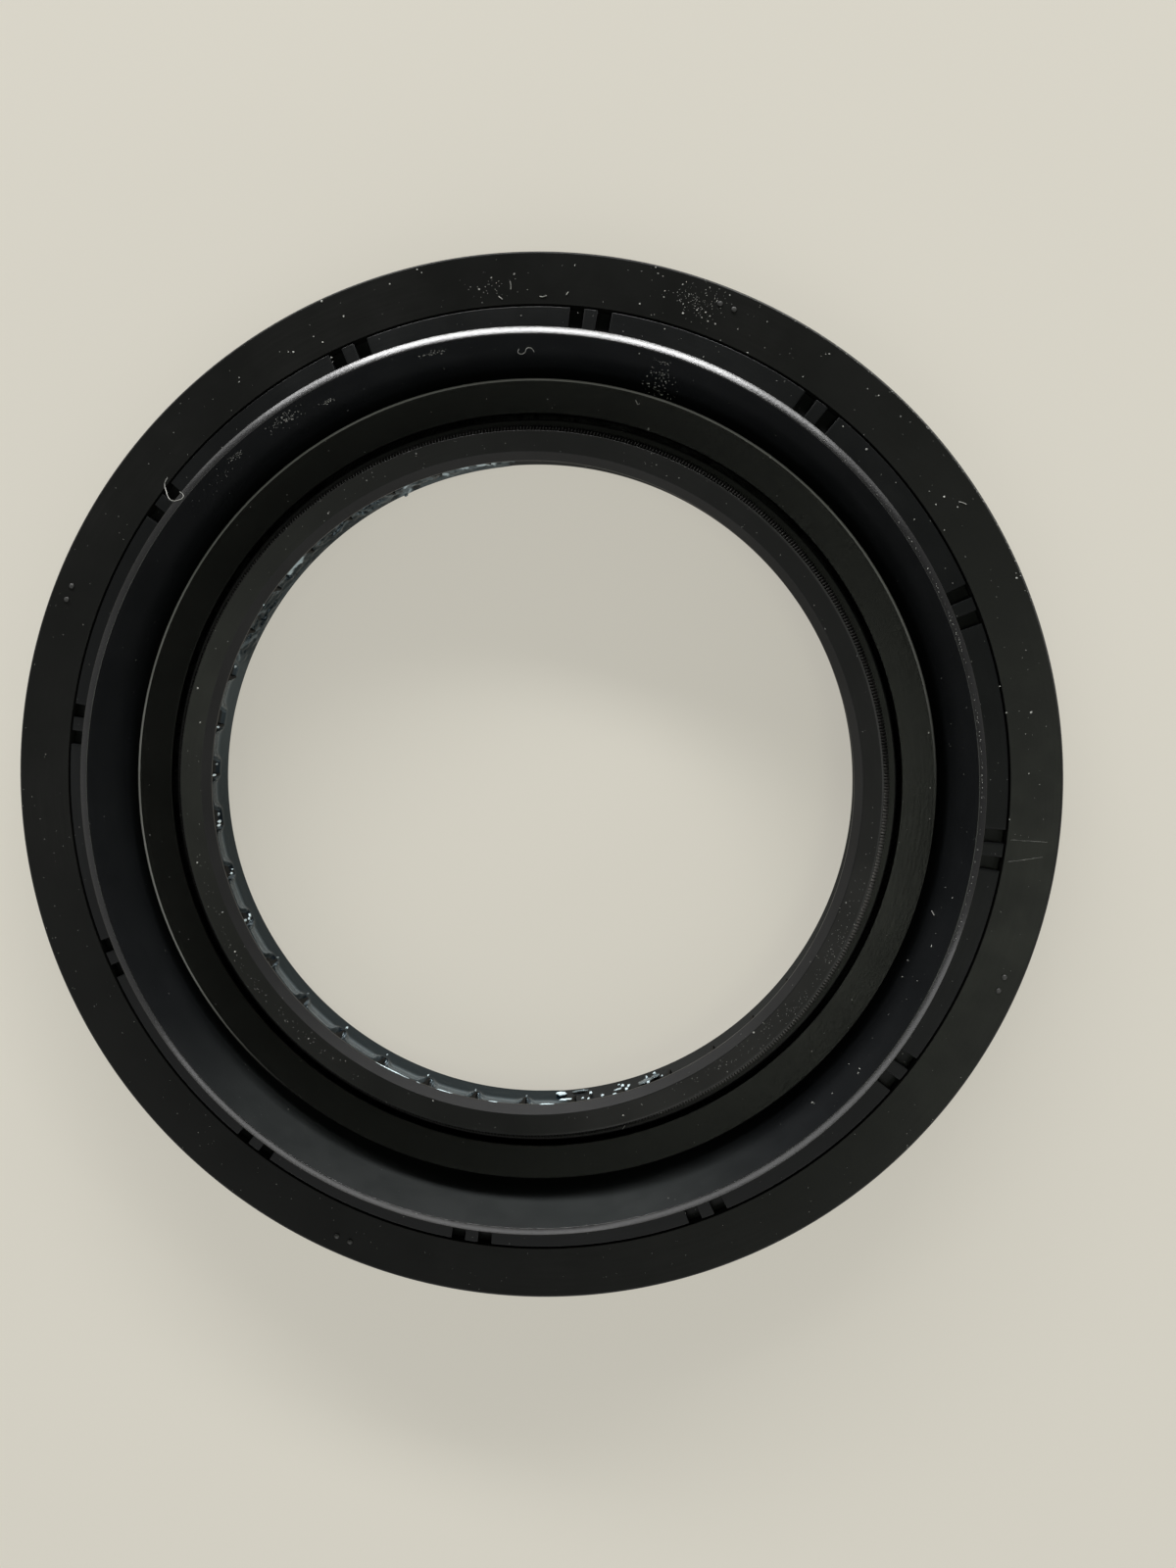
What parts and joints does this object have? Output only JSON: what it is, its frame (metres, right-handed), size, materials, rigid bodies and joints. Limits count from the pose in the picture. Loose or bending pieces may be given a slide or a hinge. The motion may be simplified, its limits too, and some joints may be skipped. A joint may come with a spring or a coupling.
{
  "type": "radial shaft seal",
  "caption": "Radial shaft seal with a rubber covered outside, a spring loaded main lip, a dust lip, an inner case and a slotted raised collar on the oil side.",
  "frame": {"origin": "centre of the flat back face, on the shaft axis", "axes": "+Z along the shaft axis, out of the oil side, so the seal lies on its back; +X and +Y are across it, at no special place on the ring"},
  "size_m": [0.1606, 0.1606, 0.018],
  "materials": {
    "body_rubber": "matt black nitrile rubber, with moulding marks, dust and traces of grease",
    "case_steel": "pressed sheet steel, hidden inside the rubber",
    "inner_case_black": "satin black coated sheet steel",
    "collar_black": "matt black moulding with a fine flash line at the rim",
    "spring_steel": "oiled spring wire, dull grey"
  },
  "bodies": {
    "root": {"rubber_body": "body_rubber", "outer_case": "case_steel", "inner_case": "inner_case_black", "collar": "collar_black", "garter_spring": "spring_steel"}
  },
  "joints": []
}
